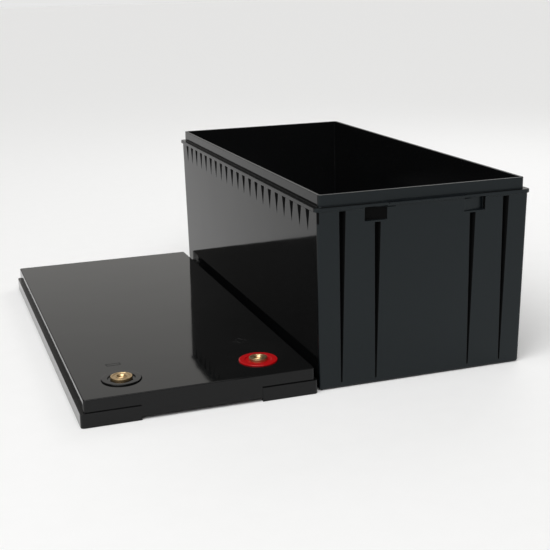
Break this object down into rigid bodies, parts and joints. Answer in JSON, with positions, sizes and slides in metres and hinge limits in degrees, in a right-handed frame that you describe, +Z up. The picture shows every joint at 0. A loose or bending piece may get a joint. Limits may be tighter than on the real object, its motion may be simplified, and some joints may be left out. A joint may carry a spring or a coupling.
{
  "type": "battery pack",
  "caption": "Rectangular black battery case with pocketed long walls, grooved ends and a loose lid with brass terminals, cell block inside.",
  "frame": {"origin": "centre of the container's underside, on the surface it stands on", "axes": "+Z up; +Y along the length, away from the end where the lid's terminals are; +X across, away from the side where the lid lies"},
  "size_m": [0.4785, 0.523, 0.202],
  "materials": {
    "case_plastic": "glossy moulded black",
    "collar_red": "glossy red",
    "collar_black": "glossy black",
    "brass": "turned brass",
    "steel": "zinc-plated",
    "seal_rubber": "matt",
    "foam": "closed-cell foam",
    "cell_can": "aluminium can in blue insulating film",
    "separator": "epoxy sheet",
    "plate_aluminium": "satin",
    "busbar_metal": "nickel-plated copper",
    "copper": "bare copper",
    "cover_plastic": "matt black",
    "board": "green lacquered board",
    "socket_plastic": "natural nylon"
  },
  "bodies": {
    "case": {"container": "case_plastic", "base_pad": "foam", "cell_1": "cell_can", "cell_2": "cell_can", "cell_3": "cell_can", "cell_4": "cell_can", "cell_5": "cell_can", "cell_6": "cell_can", "cell_7": "cell_can", "cell_8": "cell_can", "cell_9": "cell_can", "cell_10": "cell_can", "cell_11": "cell_can", "cell_12": "cell_can", "cell_13": "cell_can", "cell_14": "cell_can", "cell_15": "cell_can", "cell_16": "cell_can", "cell_separators": "separator", "end_plate_front": "plate_aluminium", "end_plate_rear": "plate_aluminium", "clamp_band_lower": "steel", "clamp_band_upper": "steel", "busbar_negative": "busbar_metal", "busbar_1_2": "busbar_metal", "busbar_2_3": "busbar_metal", "busbar_3_4": "busbar_metal", "busbar_positive": "busbar_metal", "busbar_nuts": "steel", "foam_front": "foam", "foam_rear": "foam", "foam_left": "foam", "busbar_cover": "cover_plastic", "bms_plate": "board", "bms_spacers": "brass", "bms_board": "board", "bms_transistors": "cover_plastic", "bms_heatsink": "plate_aluminium", "bms_socket": "socket_plastic", "bms_screws": "steel", "bms_link": "copper", "link_screws": "steel"},
    "lid": {"lid": "case_plastic", "collar_negative": "collar_black", "collar_positive": "collar_red", "insert_negative": "brass", "insert_positive": "brass", "seal_negative": "seal_rubber", "seal_positive": "seal_rubber", "washer_negative": "steel", "washer_positive": "steel", "nut_negative": "brass", "nut_positive": "brass"}
  },
  "joints": [
    {"name": "lid_lift", "type": "slide", "parent": "case", "child": "lid", "axis": [-0.02, 0, 0.9998], "range_m": [0, 0.26]}
  ]
}
